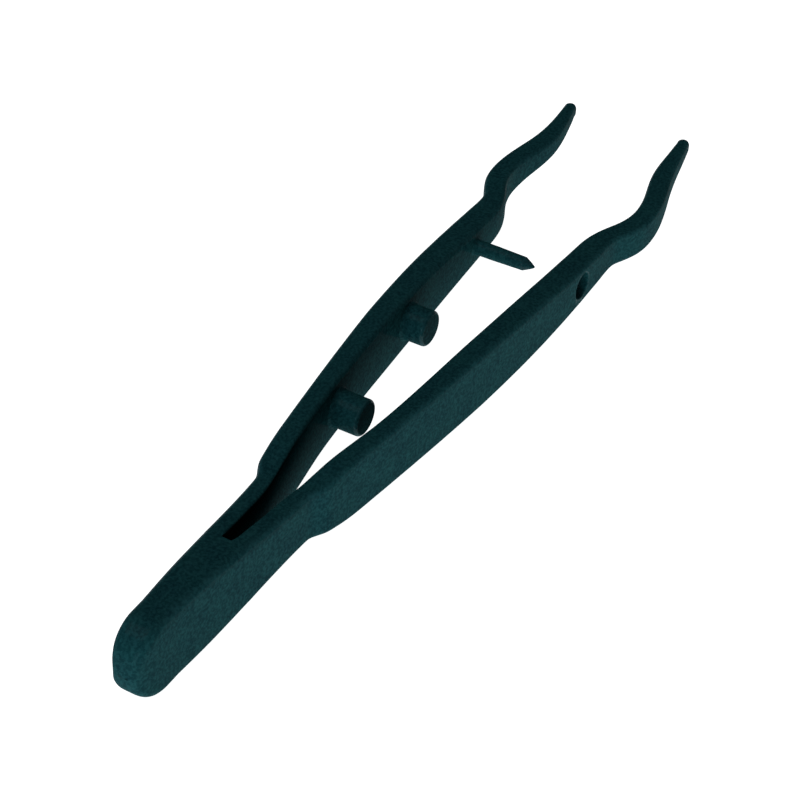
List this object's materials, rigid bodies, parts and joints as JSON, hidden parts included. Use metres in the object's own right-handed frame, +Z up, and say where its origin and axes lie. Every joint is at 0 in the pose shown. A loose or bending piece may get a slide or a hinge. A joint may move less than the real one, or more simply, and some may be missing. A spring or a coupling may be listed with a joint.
{
  "type": "tweezers",
  "caption": "One-piece moulded plastic tweezers with a springy slotted heel, bowed arms, stop posts, a guide pin with its hole, and bulged narrow noses",
  "frame": {"origin": "below the middle of the object, on the surface it lies on", "axes": "+X from the heel to the tips, +Y towards the left arm (the opening direction), +Z up, square to the plane the arms move in"},
  "size_m": [0.127, 0.0245, 0.01],
  "materials": {
    "moulding": "satin dark green-black injection-moulded plastic, slightly glossy on rounded edges"
  },
  "bodies": {
    "heel": {"heel": "moulding", "left_flexure": "moulding", "right_flexure": "moulding"},
    "left_arm": {"left_arm": "moulding", "left_nose": "moulding", "rear_stop": "moulding", "front_stop": "moulding", "guide_pin": "moulding"},
    "right_arm": {"right_arm": "moulding", "right_nose": "moulding"}
  },
  "joints": [
    {"name": "left_bend", "type": "hinge", "parent": "heel", "child": "left_arm", "pos_m": [-0.0353, 0.0021, 0.005], "axis": [0, 0, -1], "range_deg": [0, 4.65], "stiffness_Nm_per_rad": 1.4, "deforming": ["left_flexure"]},
    {"name": "right_bend", "type": "hinge", "parent": "heel", "child": "right_arm", "pos_m": [-0.0353, -0.0021, 0.005], "axis": [0, 0, 1], "range_deg": [0, 4.65], "stiffness_Nm_per_rad": 1.4, "deforming": ["right_flexure"]}
  ],
  "couplings": [
    {"joint": "right_bend", "follows": "left_bend", "ratio": 1}
  ]
}
